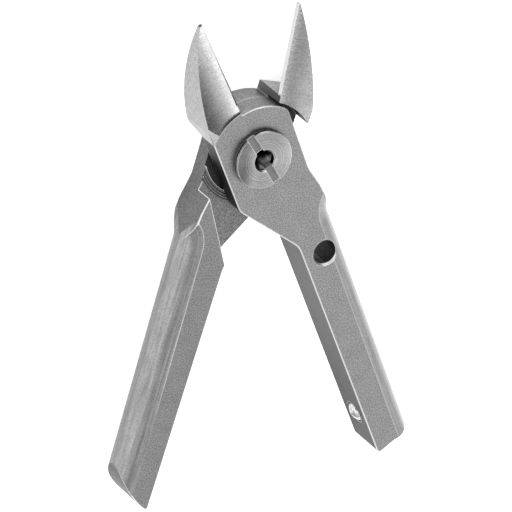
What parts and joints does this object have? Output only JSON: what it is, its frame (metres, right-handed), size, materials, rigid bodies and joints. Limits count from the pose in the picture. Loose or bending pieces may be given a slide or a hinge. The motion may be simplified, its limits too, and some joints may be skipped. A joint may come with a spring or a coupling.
{
  "type": "flush cutter",
  "caption": "Small bare-steel flush side cutter, two lap-jointed halves on a slotted pivot screw, shown open, with a domed stop screw between the handles.",
  "frame": {"origin": "on the pivot axis, at the flat back of the tool, which it lies on", "axes": "+Y towards the jaw tips, halfway between the open halves; +Z along the pivot axis, out of the front; +X to the right"},
  "size_m": [0.0481, 0.0753, 0.0082],
  "materials": {
    "front_half": "satin ground",
    "rear_half": "satin ground",
    "pivot_screw": "turned bright",
    "spring_washer": "dark spring steel",
    "lock_nut": "turned",
    "stop_screw": "polished"
  },
  "bodies": {
    "front": {"front_half": "front_half"},
    "rear": {"rear_half": "rear_half", "pivot_screw": "pivot_screw", "spring_washer": "spring_washer", "lock_nut": "lock_nut"},
    "stop": {"stop_screw": "stop_screw"}
  },
  "joints": [
    {"name": "pivot", "type": "hinge", "parent": "front", "child": "rear", "pos_m": [0, 0, 0.0035], "axis": [0, 0, 1], "range_deg": [-15, 38.9]},
    {"name": "stop_adjust", "type": "slide", "parent": "front", "child": "stop", "axis": [0.9429, 0.333, 0], "range_m": [-0.00035, 0.0006]}
  ]
}
